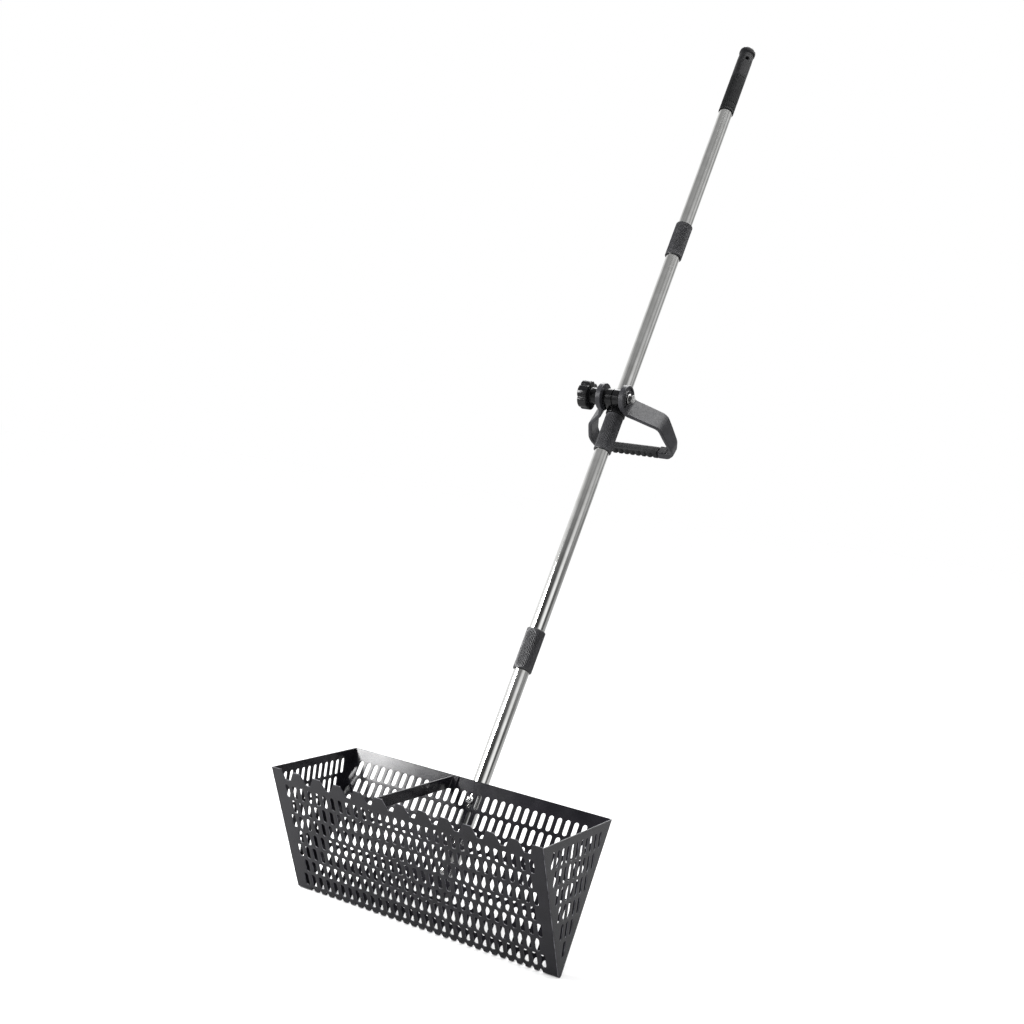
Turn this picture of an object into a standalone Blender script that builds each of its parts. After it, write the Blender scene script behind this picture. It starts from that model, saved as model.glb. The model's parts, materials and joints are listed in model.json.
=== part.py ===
"""Beach sand scoop: a perforated V-shaped basket with a toothed front lip, on a four-section
stainless pole with screw collars, a rear hand grip and a tilting D-handle held by a star knob.

Frame: +Z is square to the basket's opening, +X runs along the basket, -Y is the toothed front.
The origin is the middle of the flat strip at the bottom of the fold. All values are in metres.
"""

import math

import bpy
import bmesh
from mathutils import Matrix, Vector

# ---- basket ----
BASKET_LENGTH = 0.400
SHEET = 0.0015                # thickness of the stainless sheet
DEVELOPED_WIDTH = 0.400       # back panel and front panel laid flat
LEAN = math.radians(26.64)    # each panel's angle from +Z, and the pole's
BEND_RADIUS = 0.00275         # at the middle of the sheet's thickness
BEND_FACETS = 3
SLOT_WIDTH = 0.0064
SLOT_LENGTH = 0.0208
SLOT_PITCH = 0.01205          # along the basket
ROW_PITCH = 0.0243            # across the sheet
FIRST_ROW = 0.0161            # from the back edge to the first row
ROWS = 15
WIDE_ROW_SLOTS = 31           # the rows between them have one fewer, half a pitch over
TOOTH_PITCH = 0.032
TEETH_EACH_SIDE = 5           # of the middle tooth
TOOTH_DEPTH = 0.015
TOOTH_TIP = 0.0055            # half widths
TOOTH_ROOT = 0.0125
LIP_END_TIP = 0.1845          # where the teeth stop and the plain end of the lip begins
LIP_END_ROOT = 0.1810
END_SLOT_PITCH = 0.0124
END_ROW_PITCH = 0.0244
END_FIRST_ROW = 0.0108
END_ROW_SLOTS = (11, 9, 7, 5, 3, 1)
BRACE_X = -0.036
BRACE_HEIGHT = 0.016
BRACE_SHEET = 0.002
BRACE_TAB = 0.010             # the tab at each end, along the basket
GAP = 0.0003                  # between neighbouring pieces

# ---- pole, along its own +Z from the level of the back panel's top edge ----
TUBE_R = 0.011
TUBE_WALL = 0.0012
TUBE_FOOT = -0.136
PLUG_FOOT = -0.153
PLUG_INSIDE = 0.0075
SECTION_JOINTS = (0.1955, 0.5485, 0.9030)
COLLAR_LENGTH = 0.061
COLLAR_R = 0.0135
SPIGOT_DOWN = 0.045           # length of a spigot in the tube below its joint
SPIGOT_UP = 0.038
PIN_R = 0.0016
PIN_UP = 0.020
TUBE_TOP = 1.2700
GRIP_FOOT = 1.167
GRIP_TOP = 1.2390
GRIP_R = 0.0125
CAP_R = 0.0134
CAP_TOP = 1.3055
CAP_CROWN = 0.0060
CAP_HEAD = 0.0125              # from the top to where the head turns in to the neck
CAP_NECK = 0.0150              # from the top to the neck
CAP_NECK_R = 0.0121
HANG_HOLE_R = 0.0028
HANG_HOLE = 1.2780
HANG_HOLE_TURN = math.radians(40)     # from the front towards +X

# ---- bolts through the tube, each in the middle of a slot on the basket's centre line ----
TUBE_BOLT_ROWS = {"upper": 0, "lower": 4}
BOLT_R = 0.0025
BOLT_HOLE_R = 0.0028
BOLT_HEAD_R = 0.0055
BOLT_HEAD = 0.0036
BOLT_PAST_NUT = 0.0015
WASHER_R = 0.0060
WASHER = 0.0012
NUT_FLATS = 0.0080
NUT = 0.0047

# ---- D-handle, about its pivot ----
PIVOT_FORWARD = 0.020         # from the pole's axis towards the front
PIVOT_HEIGHT = 0.5990
LOOP_TILT = math.radians(18)  # below square to the pole
BUSH_R = 0.0125
BRACKET_R = 0.0148
BRACKET_HEIGHT = 0.0394
LUG_R = 0.0130
LUG_STEPS = 8
SLIT = 0.0016
SLIT_FROM = 0.7               # of the bush's radius, where the slit starts
PIVOT_R = 0.0040
PIVOT_HOLE_R = 0.0043
HUB_IN = BRACKET_R + GAP
HUB_OUT = 0.0231
HUB_R = 0.0205
HUB_STEPS = 10
HUB_OPEN_FROM = math.radians(60)   # the hub's round edge ends here, above and below the strap
STRAP = 0.0055
GRIP_BAR_NEAR = 0.0975        # crossbar, from the pivot
GRIP_BAR_FAR = 0.1065
GRIP_BAR_HALF_WIDTH = 0.0052
LOOP_GRIP_HALF_LENGTH = 0.0435
LOOP_GRIP_MIDDLE = 0.0080
LOOP_GRIP_WALL = 0.0026
PIVOT_WASHER_R = 0.0080
PIVOT_WASHER = 0.0016
PIVOT_HEAD_FLATS = 0.0130
PIVOT_HEAD = 0.0053
KNOB_NECK_R = 0.0120
KNOB_NECK = 0.0127
KNOB_STAR = 0.0150
KNOB_R = 0.0208
KNOB_LOBE = 0.0012
KNOB_LOBES = 6
KNOB_LOBE_STEPS = 6
KNOB_NUT = 0.0065
PIVOT_PAST_NUT = 0.0080

ROUND = 24                    # sides of a tube or collar
WASHER_ROUND = 16
SMALL_ROUND = 12              # sides of a bolt or hole
PIN_ROUND = 8
DOME_ANGLES = (0, 0.5, 1.0, math.pi / 2)
ARC_STEPS = 3                 # sides of a rounded corner
CHAMFER = 0.0010
OVERLAP = 0.0020              # how far a joined piece runs into its neighbour
EDGE_ON = Matrix(((0, 0, 1, 0), (1, 0, 0, 0), (0, 1, 0, 0), (0, 0, 0, 1)))   # plate's x to +Y, y to +Z


# ---- scene, materials and modelling tools ----
def clear_scene():
    for obj in list(bpy.data.objects):
        bpy.data.objects.remove(obj, do_unlink=True)


def new_collection(name):
    collection = bpy.data.collections.new(name)
    bpy.context.scene.collection.children.link(collection)
    return collection


def make_material(name, colour, roughness, metallic):
    material = bpy.data.materials.new(name)
    material.use_nodes = True
    shader = material.node_tree.nodes["Principled BSDF"]
    shader.inputs["Base Color"].default_value = (*colour, 1.0)
    shader.inputs["Roughness"].default_value = roughness
    shader.inputs["Metallic"].default_value = metallic
    return material


clear_scene()
PARTS = new_collection("beach_sand_scoop")
CUTTERS = new_collection("cutters")
BLACK_COAT = ("black_coat", (0.018, 0.018, 0.020), 0.30, 0.0)
STAINLESS = ("stainless_tube", (0.62, 0.62, 0.60), 0.16, 1.0)
BRIGHT_STEEL = ("bright_steel", (0.70, 0.70, 0.70), 0.12, 1.0)
ALUMINIUM = ("aluminium", (0.55, 0.56, 0.58), 0.30, 1.0)
BLACK_PLASTIC = ("black_plastic", (0.022, 0.022, 0.024), 0.42, 0.0)
GREY_PLASTIC = ("dark_grey_plastic", (0.060, 0.060, 0.066), 0.38, 0.0)
BLACK_RUBBER = ("black_rubber", (0.014, 0.014, 0.015), 0.70, 0.0)


def link(name, mesh, finish, parent=None, place=Matrix.Identity(4)):
    """One part: the mesh as an object of this name, placed in its parent's frame."""
    obj = bpy.data.objects.new(name, mesh)
    PARTS.objects.link(obj)
    obj.parent = parent
    obj.matrix_local = place
    own = make_material(f"{name}_{finish[0]}", *finish[1:])
    mesh.materials.clear()
    mesh.materials.append(own)
    return obj


def empty(name, location, rotation=(0, 0, 0), parent=None):
    obj = bpy.data.objects.new(name, None)
    PARTS.objects.link(obj)
    obj.parent = parent
    obj.location = location
    obj.rotation_euler = rotation
    return obj


def smooth(obj, angle=40):
    obj.data.shade_smooth()
    obj.data.set_sharp_from_angle(angle=math.radians(angle))


def mesh_of(obj, weld=1e-6):
    """The evaluated mesh of a helper object, welded and freed from the helper, which is removed."""
    bpy.context.view_layer.update()
    graph = bpy.context.evaluated_depsgraph_get()
    mesh = bpy.data.meshes.new_from_object(obj.evaluated_get(graph))
    bpy.data.objects.remove(obj, do_unlink=True)
    model = bmesh.new()
    model.from_mesh(mesh)
    bmesh.ops.remove_doubles(model, verts=model.verts, dist=weld)
    bmesh.ops.recalc_face_normals(model, faces=model.faces)
    model.to_mesh(mesh)
    model.free()
    return mesh


def plate_mesh(outlines, thickness):
    """A flat plate in XY, centred on z=0. The first outline is its edge and the others are holes."""
    curve = bpy.data.curves.new("outline", "CURVE")
    curve.dimensions = "2D"
    curve.fill_mode = "BOTH"
    curve.extrude = thickness / 2
    for outline in outlines:
        spline = curve.splines.new("POLY")
        spline.points.add(len(outline) - 1)
        for point, (x, y) in zip(spline.points, outline):
            point.co = (x, y, 0, 1)
        spline.use_cyclic_u = True
    helper = bpy.data.objects.new("outline", curve)
    CUTTERS.objects.link(helper)
    mesh = mesh_of(helper)
    bpy.data.curves.remove(curve)
    return mesh


def turned_mesh(profile, steps=ROUND):
    """A solid of revolution about Z. The profile's (radius, z) points run down the outside."""
    line = bpy.data.meshes.new("profile")
    count = len(profile)
    closed = profile[0][0] > 0
    edges = [(i, (i + 1) % count) for i in range(count if closed else count - 1)]
    line.from_pydata([(r, 0, z) for r, z in profile], edges, [])
    helper = bpy.data.objects.new("profile", line)
    CUTTERS.objects.link(helper)
    screw = helper.modifiers.new("turn", "SCREW")
    screw.steps = screw.render_steps = steps
    screw.use_merge_vertices = True
    screw.merge_threshold = 1e-5
    mesh = mesh_of(helper)
    bpy.data.meshes.remove(line)
    return mesh


def ring(inner, outer, low, high, chamfer=0.0):
    """Profile of a sleeve or tube: down the outside and up the bore."""
    if not chamfer:
        return [(outer, high), (outer, low), (inner, low), (inner, high)]
    return [
        (outer - chamfer, high), (outer, high - chamfer), (outer, low + chamfer),
        (outer - chamfer, low), (inner, low), (inner, high),
    ]


def rod(radius, low, high, chamfer=0.0):
    """Profile of a solid round bar."""
    if not chamfer:
        return [(0, high), (radius, high), (radius, low), (0, low)]
    return [
        (0, high), (radius - chamfer, high), (radius, high - chamfer),
        (radius, low + chamfer), (radius - chamfer, low), (0, low),
    ]


def block_mesh(x, y, z):
    block = bmesh.new()
    bmesh.ops.create_cube(block, size=1)
    bmesh.ops.scale(block, vec=(x, y, z), verts=block.verts)
    mesh = bpy.data.meshes.new("block")
    block.to_mesh(mesh)
    block.free()
    return mesh


def circle(radius, sides=SMALL_ROUND):
    turn = [2 * math.pi * (i + 0.5) / sides for i in range(sides)]
    return [(radius * math.cos(a), radius * math.sin(a)) for a in turn]


def hexagon(flats):
    return circle(flats / 2 / math.cos(math.pi / 6), 6)


def slot(x, y, width, length):
    return [
        (x - width / 2, y), (x + width / 2, y),
        (x + width / 2, y + length), (x - width / 2, y + length),
    ]


def rounded(points, radius, steps=ARC_STEPS):
    """The closed outline with each corner made an arc of this radius, or less where it is short."""
    corners = [Vector(point) for point in points]
    outline = []
    for i, corner in enumerate(corners):
        before = corners[i - 1] - corner
        after = corners[(i + 1) % len(corners)] - corner
        half = before.angle(after) / 2
        reach = min(radius / math.tan(half), before.length / 2.1, after.length / 2.1)
        start = corner + before.normalized() * reach
        end = corner + after.normalized() * reach
        arc = reach * math.tan(half)
        centre = corner + (before.normalized() + after.normalized()).normalized() * math.hypot(reach, arc)
        turn = (start - centre).angle_signed(end - centre)
        for step in range(steps + 1):
            spoke = Matrix.Rotation(-turn * step / steps, 2) @ (start - centre)
            outline.append(tuple(centre + spoke))
    return outline


def combine(obj, mesh, operation, place=Matrix.Identity(4)):
    """Cut, join or intersect the object with a mesh that is placed in the object's own frame."""
    cutter = bpy.data.objects.new("cutter", mesh)
    CUTTERS.objects.link(cutter)
    cutter.hide_render = True
    cutter.display_type = "WIRE"
    bpy.context.view_layer.update()
    cutter.matrix_world = obj.matrix_world @ place
    modifier = obj.modifiers.new(operation.lower(), "BOOLEAN")
    modifier.operation = operation
    modifier.solver = "EXACT"
    modifier.object = cutter


def along(axis):
    """Rotation that lays a piece made along Z onto +X or, with its top forward, onto -Y."""
    if axis == "X":
        return Matrix.Rotation(math.pi / 2, 4, "Y")
    return Matrix.Rotation(math.pi / 2, 4, "X")


def at(x=0.0, y=0.0, z=0.0):
    return Matrix.Translation((x, y, z))


# ---- the folded sheet ----
def bend_lines():
    """Distances across the flat sheet, from the back edge, at which it is bent."""
    bend = BEND_RADIUS * 2 * (math.pi / 2 - LEAN)
    start = (DEVELOPED_WIDTH - bend) / 2
    return [start + bend * i / BEND_FACETS for i in range(BEND_FACETS + 1)]


def heading(segment):
    """Angle of a flat stretch: back panel 0, then the bend's facets, then the front panel."""
    steep = math.pi / 2 - LEAN
    return -steep + 2 * steep * segment / (BEND_FACETS + 1)


def direction(angle):
    return Vector((-math.cos(angle), math.sin(angle)))


def outward(angle):
    return Vector((-math.sin(angle), -math.cos(angle)))


def folded(across, outside):
    """(y, z) of a point of the bent sheet: across from the back edge, and outside its middle."""
    lines = bend_lines()
    middle = Vector((0, SHEET / 2))
    facet = lines[1] - lines[0]
    corners = [middle - direction(0) * facet / 2]
    for i in range(BEND_FACETS // 2):
        corners.insert(0, corners[0] - direction(heading(BEND_FACETS // 2 - i)) * facet)
    for i in range(len(corners), len(lines)):
        corners.append(corners[-1] + direction(heading(i)) * facet)
    for i, line in enumerate(lines):
        if abs(across - line) < 1e-7:
            mean = (heading(i) + heading(i + 1)) / 2
            half_turn = (heading(i + 1) - heading(i)) / 2
            return corners[i] + outward(mean) * outside / math.cos(half_turn)
    segment = sum(across > line for line in lines)
    start = corners[max(segment - 1, 0)]
    from_line = across - lines[max(segment - 1, 0)]
    return start + direction(heading(segment)) * from_line + outward(heading(segment)) * outside


def sheet_outline(half_length):
    """Edge of the flat sheet, with the teeth of the front lip, as (x, across)."""
    tip = DEVELOPED_WIDTH
    root = DEVELOPED_WIDTH - TOOTH_DEPTH
    outline = [(-half_length, 0), (half_length, 0), (half_length, tip)]
    outline += [(LIP_END_TIP, tip), (LIP_END_ROOT, root)]
    for k in range(TEETH_EACH_SIDE, -TEETH_EACH_SIDE - 1, -1):
        x = k * TOOTH_PITCH
        outline += [(x + TOOTH_ROOT, root), (x + TOOTH_TIP, tip)]
        outline += [(x - TOOTH_TIP, tip), (x - TOOTH_ROOT, root)]
    return outline + [(-LIP_END_ROOT, root), (-LIP_END_TIP, tip), (-half_length, tip)]


def sheet_slots():
    slots = []
    for row in range(ROWS):
        count = WIDE_ROW_SLOTS - row % 2
        for i in range(count):
            x = (i - (count - 1) / 2) * SLOT_PITCH
            slots.append(slot(x, FIRST_ROW + row * ROW_PITCH, SLOT_WIDTH, SLOT_LENGTH))
    return slots


def make_basket_sheet():
    """The flat pattern cut along the bend lines, then folded into the V."""
    half_length = BASKET_LENGTH / 2 - SHEET - GAP
    mesh = plate_mesh([sheet_outline(half_length)] + sheet_slots(), SHEET)
    model = bmesh.new()
    model.from_mesh(mesh)
    for line in bend_lines():
        bmesh.ops.bisect_plane(
            model,
            geom=model.verts[:] + model.edges[:] + model.faces[:],
            dist=1e-7,
            plane_co=(0, line, 0),
            plane_no=(0, 1, 0),
        )
    for vert in model.verts:
        y, z = folded(vert.co.y, -vert.co.z)
        vert.co = (vert.co.x, y, z)
    bmesh.ops.recalc_face_normals(model, faces=model.faces)
    model.to_mesh(mesh)
    model.free()
    link("basket_sheet", mesh, BLACK_COAT)


def top_edge():
    """Height of the opening's plane, at the middle of the sheet's thickness."""
    return folded(0, 0).y


def make_end_panel(name, side):
    """A triangular plate that closes one end of the V, with upright slots in rows of falling length."""
    edges = [0] + bend_lines() + [DEVELOPED_WIDTH]
    outline = [tuple(folded(across, SHEET / 2)) for across in edges]
    slots = []
    for row, count in enumerate(END_ROW_SLOTS):
        low = top_edge() - END_FIRST_ROW - SLOT_LENGTH - row * END_ROW_PITCH
        for i in range(count):
            slots.append(slot((i - (count - 1) / 2) * END_SLOT_PITCH, low, SLOT_WIDTH, SLOT_LENGTH))
    place = at(x=side * (BASKET_LENGTH - SHEET) / 2) @ EDGE_ON
    link(name, plate_mesh([outline] + slots, SHEET), BLACK_COAT, place=place)


def make_cross_brace():
    """A strip on edge across the opening, with a tab at each end that lies against the panel."""
    inset = SHEET / 2 + GAP
    top = top_edge() - GAP
    low = top - BRACE_HEIGHT
    wall = folded(0, -inset)
    slope = math.tan(LEAN)
    wide = wall.x - (wall.y - top) * slope - BRACE_SHEET / 2
    narrow = wide - BRACE_HEIGHT * slope
    outline = [(-narrow, low), (narrow, low), (wide, top), (-wide, top)]
    brace = link("cross_brace", plate_mesh([outline], BRACE_SHEET), BLACK_COAT, place=at(x=BRACE_X) @ EDGE_ON)
    for side in (1, -1):
        tab = block_mesh(BRACE_SHEET, BRACE_HEIGHT - GAP, BRACE_TAB)
        local = at(side * (wide + narrow) / 2, (top + low) / 2, (BRACE_TAB - BRACE_SHEET) / 2 + GAP)
        combine(brace, tab, "UNION", local @ Matrix.Rotation(-side * LEAN, 4, "Z"))


# ---- the pole and what bolts it to the basket ----
def make_pole_frame():
    """Empty on the pole's axis, level with the back panel's top edge, with +Z up the pole."""
    back = folded(0, SHEET / 2 + GAP + TUBE_R)
    return empty("pole_frame", (0, back.x, back.y), (-LEAN, 0, 0))


def bolt_heights():
    return {
        name: -(FIRST_ROW + row * ROW_PITCH + SLOT_LENGTH / 2) for name, row in TUBE_BOLT_ROWS.items()
    }


def cross_hole(obj, radius, z, turn=0.0, reach=0.05):
    place = at(z=z) @ Matrix.Rotation(turn, 4, "Z") @ along("Y")
    combine(obj, turned_mesh(rod(radius, -reach, reach), SMALL_ROUND), "DIFFERENCE", place)


def make_tube(name, low, high, pole):
    tube = link(name, turned_mesh(ring(TUBE_R - TUBE_WALL, TUBE_R, low, high)), STAINLESS, pole)
    smooth(tube)
    return tube


def make_tubes(pole):
    joints = SECTION_JOINTS
    lows = (TUBE_FOOT,) + joints
    highs = tuple(joint - GAP for joint in joints) + (TUBE_TOP,)
    names = ("bottom_tube", "second_tube", "third_tube", "top_tube")
    tubes = [make_tube(*parts, pole) for parts in zip(names, lows, highs)]
    for z in bolt_heights().values():
        cross_hole(tubes[0], BOLT_HOLE_R, z)
    for tube, joint in zip(tubes[1:], joints):
        cross_hole(tube, PIN_R + GAP, joint + PIN_UP)


def make_tube_bolt(name, z, pole):
    """Round-headed bolt from inside the basket, through the slot and the tube, to a washer and nut."""
    under_head = TUBE_R + GAP + SHEET + GAP
    washer_near = TUBE_R + GAP
    nut_near = washer_near + WASHER + GAP
    end = nut_near + NUT + BOLT_PAST_NUT
    dome = [(BOLT_HEAD_R * math.sin(a), BOLT_HEAD * math.cos(a)) for a in DOME_ANGLES]
    shank = [(BOLT_R, 0), (BOLT_R, -under_head - end), (0, -under_head - end)]
    bolt = link(
        f"{name}_tube_bolt", turned_mesh(dome + shank, SMALL_ROUND), BRIGHT_STEEL, pole,
        at(y=-under_head, z=z) @ along("Y"),
    )
    smooth(bolt)
    bore = circle(BOLT_HOLE_R)
    for piece, outline, near, thick in (
        ("washer", circle(WASHER_R, WASHER_ROUND), washer_near, WASHER),
        ("nut", hexagon(NUT_FLATS), nut_near, NUT),
    ):
        link(
            f"{name}_tube_{piece}", plate_mesh([outline, bore], thick), BRIGHT_STEEL, pole,
            at(y=near + thick / 2, z=z) @ along("Y"),
        )


def make_plug(pole):
    """Plastic plug in the open foot of the bottom tube."""
    inside = TUBE_R - TUBE_WALL - GAP
    profile = [
        (0, TUBE_FOOT + PLUG_INSIDE), (inside, TUBE_FOOT + PLUG_INSIDE), (inside, TUBE_FOOT - GAP),
        (TUBE_R, TUBE_FOOT - GAP), (TUBE_R, PLUG_FOOT + 2 * CHAMFER), (TUBE_R - 2 * CHAMFER, PLUG_FOOT),
        (0, PLUG_FOOT),
    ]
    smooth(link("bottom_tube_plug", turned_mesh(profile), BLACK_PLASTIC, pole))


def make_section_joint(name, z, pole):
    """Spigot pinned in the upper tube, which slides into the lower one, and the collar round both."""
    low, high = z - SPIGOT_DOWN, z + SPIGOT_UP
    spigot = link(
        f"{name}_spigot", turned_mesh(rod(TUBE_R - TUBE_WALL - GAP, low, high, CHAMFER)), ALUMINIUM, pole
    )
    smooth(spigot)
    cross_hole(spigot, PIN_R + GAP, z + PIN_UP)
    length = 2 * (TUBE_R - GAP)
    smooth(link(
        f"{name}_spigot_pin", turned_mesh(rod(PIN_R, -length / 2, length / 2), PIN_ROUND), BRIGHT_STEEL, pole,
        at(z=z + PIN_UP) @ along("Y"),
    ))
    collar = ring(TUBE_R + GAP, COLLAR_R, z - COLLAR_LENGTH / 2, z + COLLAR_LENGTH / 2, CHAMFER)
    smooth(link(f"{name}_collar", turned_mesh(collar), BLACK_PLASTIC, pole))


def make_hand_grip(pole):
    """Rubber sleeve, and above it a mushroom-headed cap whose skirt covers the end of the tube."""
    grip = ring(TUBE_R + GAP, GRIP_R, GRIP_FOOT, GRIP_TOP, CHAMFER)
    smooth(link("hand_grip", turned_mesh(grip), BLACK_RUBBER, pole))
    inside, foot, roof = TUBE_R + GAP, GRIP_TOP + GAP, TUBE_TOP + GAP
    profile = [(CAP_R * math.sin(a), CAP_TOP - CAP_CROWN * (1 - math.cos(a))) for a in DOME_ANGLES]
    profile += [(CAP_R, CAP_TOP - CAP_HEAD), (CAP_NECK_R, CAP_TOP - CAP_NECK), (GRIP_R, HANG_HOLE)]
    profile += [(GRIP_R, foot), (inside, foot), (inside, roof), (0, roof)]
    cap = link("grip_end_cap", turned_mesh(profile), BLACK_PLASTIC, pole)
    smooth(cap)
    cross_hole(cap, HANG_HOLE_R, HANG_HOLE, HANG_HOLE_TURN)


# ---- the D-handle ----
def make_handle_bracket(pole):
    """Split clamp round a bush on the pole, with a lug in front that carries the pivot."""
    low = PIVOT_HEIGHT - BRACKET_HEIGHT / 2
    high = PIVOT_HEIGHT + BRACKET_HEIGHT / 2
    bush = ring(TUBE_R + GAP, BUSH_R, low, high)
    smooth(link("handle_bush", turned_mesh(bush), BLACK_PLASTIC, pole))
    bracket = link("handle_bracket", turned_mesh(rod(BRACKET_R, low, high, CHAMFER)), BLACK_PLASTIC, pole)
    smooth(bracket)
    lug_outline = [(0.0, -LUG_R), (0.0, LUG_R)]
    for i in range(LUG_STEPS + 1):
        a = math.pi / 2 + math.pi * i / LUG_STEPS
        lug_outline.append((-PIVOT_FORWARD + LUG_R * math.cos(a), LUG_R * math.sin(a)))
    lug = plate_mesh([lug_outline], 2 * BRACKET_R - GAP)
    combine(bracket, lug, "UNION", at(z=PIVOT_HEIGHT) @ EDGE_ON)
    combine(bracket, turned_mesh(rod(BUSH_R + GAP, low - OVERLAP, high + OVERLAP)), "DIFFERENCE")
    slit = block_mesh(SLIT, 2 * PIVOT_FORWARD, 2 * BRACKET_HEIGHT)
    combine(bracket, slit, "DIFFERENCE", at(y=-BUSH_R * SLIT_FROM - PIVOT_FORWARD, z=PIVOT_HEIGHT))
    bore = turned_mesh(rod(PIVOT_HOLE_R, -HUB_OUT, HUB_OUT), SMALL_ROUND)
    combine(bracket, bore, "DIFFERENCE", at(y=-PIVOT_FORWARD, z=PIVOT_HEIGHT) @ along("X"))


def loop_plan():
    """Plan of the loop as (along the pivot, away from it): outside, then back along the inside."""
    t = STRAP
    outside = [
        (-HUB_OUT, -HUB_R), (-HUB_OUT, 0.014), (-0.026, 0.022), (-0.048, 0.043),
        (-0.0565, 0.075), (-0.052, GRIP_BAR_FAR), (0.067, GRIP_BAR_FAR), (0.078, 0.099),
        (0.0805, 0.084), (0.072, 0.037), (HUB_OUT, 0.014), (HUB_OUT, -HUB_R),
    ]
    inside = [
        (HUB_IN, -HUB_R), (HUB_IN, 0.017), (0.072 - 1.3 * t, 0.037 + 0.6 * t), (0.0805 - t, 0.084),
        (0.078 - t, 0.092), (0.067 - t, GRIP_BAR_NEAR), (-0.052 + t, GRIP_BAR_NEAR),
        (-0.0565 + t, 0.075), (-0.048 + 0.9 * t, 0.043 + 0.6 * t), (-0.026 + 0.9 * t, 0.022 + 0.7 * t),
        (-HUB_IN, 0.016), (-HUB_IN, -HUB_R),
    ]
    return rounded(outside + inside, 0.010, 2)


def loop_side():
    """Side of the loop as (away from the pivot, across the strap): round hub, tapered strap, bar."""
    hub = [
        (HUB_R * math.cos(a), HUB_R * math.sin(a))
        for a in (
            HUB_OPEN_FROM + 2 * (math.pi - HUB_OPEN_FROM) * i / HUB_STEPS for i in range(HUB_STEPS + 1)
        )
    ]
    bar = GRIP_BAR_HALF_WIDTH
    near, far = GRIP_BAR_NEAR - 0.004, GRIP_BAR_FAR + 0.001
    strap = [(0.030, 0.0160), (0.060, 0.0145), (0.085, 0.0120), (near, bar), (far, bar)]
    return hub + [(reach, -half) for reach, half in strap] + strap[::-1]


def make_handle_loop(pivot):
    """Strap loop: its plan across the pivot, trimmed to its side view, with the pivot's bore."""
    loop = link("handle_loop", plate_mesh([loop_plan()], 2 * (HUB_R + OVERLAP)), GREY_PLASTIC, pivot)
    combine(loop, plate_mesh([loop_side()], 2 * GRIP_BAR_FAR), "INTERSECT", EDGE_ON)
    bore = turned_mesh(rod(PIVOT_HOLE_R, -HUB_OUT - OVERLAP, HUB_OUT + OVERLAP), SMALL_ROUND)
    combine(loop, bore, "DIFFERENCE", along("X"))
    smooth(loop, 35)
    near, far = GRIP_BAR_NEAR, GRIP_BAR_FAR
    outer = LOOP_GRIP_WALL + GAP
    half = GRIP_BAR_HALF_WIDTH
    edge = [
        (near - outer, -half - outer), (far + outer, -half - outer),
        (far + outer, half + outer), (near - outer, half + outer),
    ]
    bore = [
        (near - GAP, -half - GAP), (far + GAP, -half - GAP),
        (far + GAP, half + GAP), (near - GAP, half + GAP),
    ]
    grip = link(
        "loop_grip", plate_mesh([rounded(edge, 0.0055), bore], 2 * LOOP_GRIP_HALF_LENGTH), BLACK_RUBBER, pivot,
        at(x=LOOP_GRIP_MIDDLE) @ EDGE_ON,
    )
    smooth(grip, 35)


def make_pivot_bolt(pivot):
    """Hexagon bolt from the right hub to the nut inside the knob, with a washer at each hub."""
    head = HUB_OUT + PIVOT_WASHER + 2 * GAP
    end = -(head + KNOB_NUT + PIVOT_PAST_NUT)
    bolt = link(
        "pivot_bolt", turned_mesh(rod(PIVOT_R, end, head + OVERLAP), SMALL_ROUND), BRIGHT_STEEL, pivot,
        along("X"),
    )
    smooth(bolt)
    combine(bolt, plate_mesh([hexagon(PIVOT_HEAD_FLATS)], PIVOT_HEAD), "UNION", at(z=head + PIVOT_HEAD / 2))
    for name, side in (("pivot_washer", 1), ("knob_washer", -1)):
        washer = plate_mesh([circle(PIVOT_WASHER_R, WASHER_ROUND), circle(PIVOT_HOLE_R)], PIVOT_WASHER)
        link(name, washer, BRIGHT_STEEL, pivot, at(x=side * (HUB_OUT + GAP + PIVOT_WASHER / 2)) @ along("X"))


def make_knob(pivot):
    """Star knob on the left: neck and lobed head in one, with a hexagon nut set into the neck."""
    near = HUB_OUT + PIVOT_WASHER + 2 * GAP
    knob_frame = empty("knob_frame", (0, 0, 0), parent=pivot)
    neck = turned_mesh(rod(KNOB_NECK_R, -near - KNOB_NECK - OVERLAP, -near))
    knob = link("knob", neck, BLACK_PLASTIC, knob_frame, along("X"))
    sides = KNOB_LOBES * KNOB_LOBE_STEPS
    star = []
    for i in range(sides):
        a = 2 * math.pi * i / sides
        radius = KNOB_R + KNOB_LOBE * math.cos(KNOB_LOBES * a)
        star.append((radius * math.cos(a), radius * math.sin(a)))
    combine(knob, plate_mesh([star], KNOB_STAR), "UNION", at(z=-near - KNOB_NECK - KNOB_STAR / 2))
    pocket_depth = KNOB_NUT + 2 * GAP
    pocket = plate_mesh([hexagon(PIVOT_HEAD_FLATS + 2 * GAP)], 2 * pocket_depth)
    combine(knob, pocket, "DIFFERENCE", at(z=-near))
    bore_end = near + KNOB_NUT + PIVOT_PAST_NUT + OVERLAP
    combine(knob, turned_mesh(rod(PIVOT_HOLE_R, -bore_end, 0), SMALL_ROUND), "DIFFERENCE")
    smooth(knob, 35)
    nut = plate_mesh([hexagon(PIVOT_HEAD_FLATS), circle(PIVOT_HOLE_R)], KNOB_NUT)
    link("knob_nut", nut, BRIGHT_STEEL, knob_frame, at(x=-near - GAP - KNOB_NUT / 2) @ along("X"))


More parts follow.
